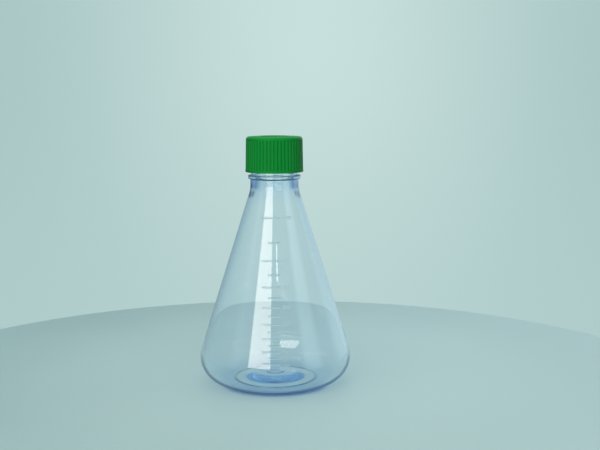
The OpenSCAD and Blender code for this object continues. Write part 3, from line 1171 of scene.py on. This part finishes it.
# %% [markdown]
# ## Flutes in the skirt
#
# Forty-eight upright hollows with rounded upper ends give the fingers a grip. Cutting them with a boolean
# leaves hard edges, and moulded ones are soft. So the tree moves the skirt's own points instead: it finds
# how far each lies from the middle line of the nearest flute, and presses it inwards by a smooth step.

# %% Flute tree
flute_sizes = ("Count", "Radius", "Depth", "Half width", "Lower end", "Upper end")
flute_flat_share = 0.15
flute_low_fade = 0.5 * MM
skin_depth = 0.5 * MM

flute_tree, given = new_tree("flutes", flute_sizes)
tree = flute_tree
spot = position(tree)
angle = calc(tree, "ARCTAN2", spot["Y"], spot["X"])
pitch = calc(tree, "DIVIDE", 2 * math.pi, given["Count"])
flutes_round = calc(tree, "DIVIDE", angle, pitch)
aside = calc(tree, "SUBTRACT", flutes_round, calc(tree, "ROUND", flutes_round))
sideways = product(tree, aside, pitch, given["Radius"])
above = calc(tree, "MAXIMUM", calc(tree, "SUBTRACT", spot["Z"], given["Upper end"]), 0.0)
flat_part = calc(tree, "MULTIPLY", given["Half width"], flute_flat_share)
hollow = ease(tree, hypotenuse(tree, sideways, above), given["Half width"], flat_part)
over_band = calc(tree, "SUBTRACT", spot["Z"], given["Lower end"])
distance = hypotenuse(tree, spot["X"], spot["Y"])
on_skin = calc(tree, "GREATER_THAN", distance, calc(tree, "SUBTRACT", given["Radius"], skin_depth))
pressed = product(tree, hollow, ease(tree, over_band, 0.0, flute_low_fade), on_skin, given["Depth"])
shrink = calc(tree, "SUBTRACT", 1.0, calc(tree, "DIVIDE", pressed, calc(tree, "MAXIMUM", distance, MM)))
inwards = combine(tree, product(tree, spot["X"], shrink), product(tree, spot["Y"], shrink), spot["Z"])
end_tree(tree, given, moved(tree, given["Mesh"], inwards))

# %% Press the flutes
flute_half_width = 0.95 * MM
flute_depth = 0.7 * MM
flute_drop = 2.9 * MM

run_tree(cap, flute_tree, green_plastic, {
    "Count": flute_count, "Radius": cap_radius, "Depth": flute_depth, "Half width": flute_half_width,
    "Lower end": band_top, "Upper end": cap_high.z - flute_drop - flute_half_width,
})
print("cap:", len(cap.data.polygons), "faces with", flute_count, "flutes")

# %% [markdown]
# ## Vent holes
#
# The filter breathes through seven holes in the recess, one in the middle and six round it. The tree bends
# a cylinder into a cutter with flared ends, so that the holes come out with rounded edges, sets copies of it
# on a ring, and cuts them from the cap.

# %% Vent tree
vent_sizes = ("Ring radius", "Hole radius", "Floor", "Ceiling", "Rounding")
vent_overrun = 0.2 * MM
vent_ring_holes = 6
vent_sides = 48
vent_steps = 24

vent_tree, given = new_tree("vent_holes", vent_sizes)
tree = vent_tree
rod = unit_rod(tree, vent_sides, vent_steps, length=2.0)
spot = position(tree)
half = calc(tree, "MULTIPLY", calc(tree, "SUBTRACT", given["Floor"], given["Ceiling"]), 0.5)
middle = calc(tree, "MULTIPLY", calc(tree, "ADD", given["Floor"], given["Ceiling"]), 0.5)
depth = calc(tree, "MULTIPLY", spot["Z"], calc(tree, "ADD", half, vent_overrun))
rounding = given["Rounding"]
near_face = calc(tree, "SUBTRACT", calc(tree, "ADD", calc(tree, "ABSOLUTE", depth), rounding), half)
into = calc(tree, "MINIMUM", calc(tree, "MAXIMUM", near_face, 0.0), rounding)
left_over = calc(tree, "SUBTRACT", product(tree, rounding, rounding), product(tree, into, into))
flare = calc(tree, "SUBTRACT", rounding, calc(tree, "SQRT", calc(tree, "MAXIMUM", left_over, 0.0)))
wide = calc(tree, "ADD", given["Hole radius"], flare)
drill = combine(
    tree, product(tree, spot["X"], wide), product(tree, spot["Y"], wide), calc(tree, "ADD", depth, middle)
)
ring_sizes = {"Vertices": vent_ring_holes, "Radius": given["Ring radius"]}
ring = add_node(tree, "GeometryNodeMeshCircle", ring_sizes).outputs[0]
centre = add_node(tree, "GeometryNodeMeshLine", {"Count": 1}).outputs[0]
spots = add_node(tree, "GeometryNodeJoinGeometry", {0: ring})
feed(tree, spots, {0: centre})
drills = add_node(
    tree, "GeometryNodeInstanceOnPoints",
    {"Points": spots.outputs[0], "Instance": moved(tree, rod, drill)},
).outputs[0]
cut = add_node(
    tree, "GeometryNodeMeshBoolean", {"Mesh 1": given["Mesh"], "Mesh 2": realized(tree, drills)},
    operation="DIFFERENCE", solver="MANIFOLD",
)
end_tree(tree, given, cut.outputs[0])

# %% Cut the vent and add the cap's thread
vent_ring_radius = 7.6 * MM
vent_hole_radius = 2.5 * MM
vent_round = 0.35 * MM
thread_below = 2.1 * MM

run_tree(cap, vent_tree, green_plastic, {
    "Ring radius": vent_ring_radius, "Hole radius": vent_hole_radius,
    "Floor": recess_floor, "Ceiling": ceiling, "Rounding": vent_round,
})
cap_thread = thread_ridge(
    "cap_thread", green_plastic, bore_radius, -1, thread_start - thread_below, -math.pi / 2,
)
united(cap, cap_thread)
finish_shading(cap.data, green_plastic)
print("cap:", len(cap.data.polygons), "faces")

# %% [markdown]
# ## Filter disc
#
# A thin white porous film is welded under the cap's top. It is a turned disc with a pressed weld ring near
# its edge, and its finish is matt and slightly fibrous.

# %% Filter film material
film_white = (0.82, 0.82, 0.79, 1)
film_shade = (0.70, 0.70, 0.67, 1)
film_roughness = (0.75, 0.90)
fibre_depth = 0.05 * MM

filter_film, tree, shader = new_material("filter_film")
surface = surface_of(tree, drift_scale=300.0, grain_scale=3500.0, scuff_scale=1500.0)
feed(tree, shader, {
    "Base Color": mix_colours(tree, surface["Grain"], film_shade, film_white),
    "Roughness": ease(tree, surface["Drift"], *noise_span, *film_roughness),
    "Normal": bump(tree, surface["Grain"], fibre_depth),
})
print("filter film:", len(tree.nodes), "nodes")

# %% Filter disc
disc_low, disc_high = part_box("vent_membrane")
disc_radius = disc_high.x
disc_columns = 128
weld_inner = disc_radius - 2.2 * MM
weld_outer = disc_radius - 0.8 * MM
weld_slope = 0.2 * MM
weld_floor = disc_low.z + 0.12 * MM
crease_round = 0.2 * MM
corner_round = 0.1 * MM

disc_outline = rounded([
    (0, disc_low.z, 0),
    (weld_inner, disc_low.z, crease_round),
    (weld_inner + weld_slope, weld_floor, corner_round),
    (weld_outer - weld_slope, weld_floor, corner_round),
    (weld_outer, disc_low.z, crease_round),
    (disc_radius, disc_low.z, corner_round),
    (disc_radius, disc_high.z, 0),
    (0, disc_high.z, 0),
])
filter_disc = turned("filter_disc", disc_outline, disc_columns)
finish_shading(filter_disc.data, filter_film)

# %% [markdown]
# ## Sealing ring
#
# A flat ring of soft white silicone seals the rim against the cap. Its edges are rounded, its finish is
# matt, and light creeps a little way into it, which Subsurface gives.

# %% Seal rubber material
seal_pale = (0.74, 0.76, 0.75, 1)
seal_shade = (0.66, 0.68, 0.67, 1)
seal_roughness = (0.50, 0.62)

seal_rubber, tree, shader = new_material("seal_rubber")
surface = surface_of(tree, drift_scale=120.0, grain_scale=2200.0, scuff_scale=700.0)
feed(tree, shader, {
    "Base Color": mix_colours(tree, surface["Drift"], seal_shade, seal_pale),
    "Roughness": ease(tree, surface["Grain"], *noise_span, *seal_roughness),
    "Normal": bump(tree, surface["Grain"], grain_depth),
    "Subsurface Weight": 0.2,
    "Subsurface Scale": 1 * MM,
})
print("seal rubber:", len(tree.nodes), "nodes")

# %% Sealing ring
seal_low, seal_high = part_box("sealing_gasket")
seal_round = 0.4 * MM
seal_overhang = 1.5 * MM
seal_columns = 144
seal_inner = mouth_radius - seal_overhang

seal_outline = rounded([
    (seal_inner, seal_low.z, seal_round),
    (seal_high.x, seal_low.z, seal_round),
    (seal_high.x, seal_high.z, seal_round),
    (seal_inner, seal_high.z, seal_round),
])
sealing_ring = turned("sealing_ring", seal_outline, seal_columns)
finish_shading(sealing_ring.data, seal_rubber)

# %% [markdown]
# ## Hand the pieces to the frame
#
# Each piece rides on the body that carries it, and the CAD node it was modelled on is hidden.

# %% Ride on the bodies
dressed = (
    (flask, "flask", "flask_body", "clear_plastic"),
    (cap, "cap", "cap_shell", "green_plastic"),
    (filter_disc, "cap", "vent_membrane", "filter_film"),
    (sealing_ring, "seal", "sealing_gasket", "seal_rubber"),
)
for piece, body, node, slot in dressed:
    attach(piece, body)
    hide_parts(node)
    print(piece.name, "rides on", body, "for", node, "with", len(piece.data.polygons), "faces")
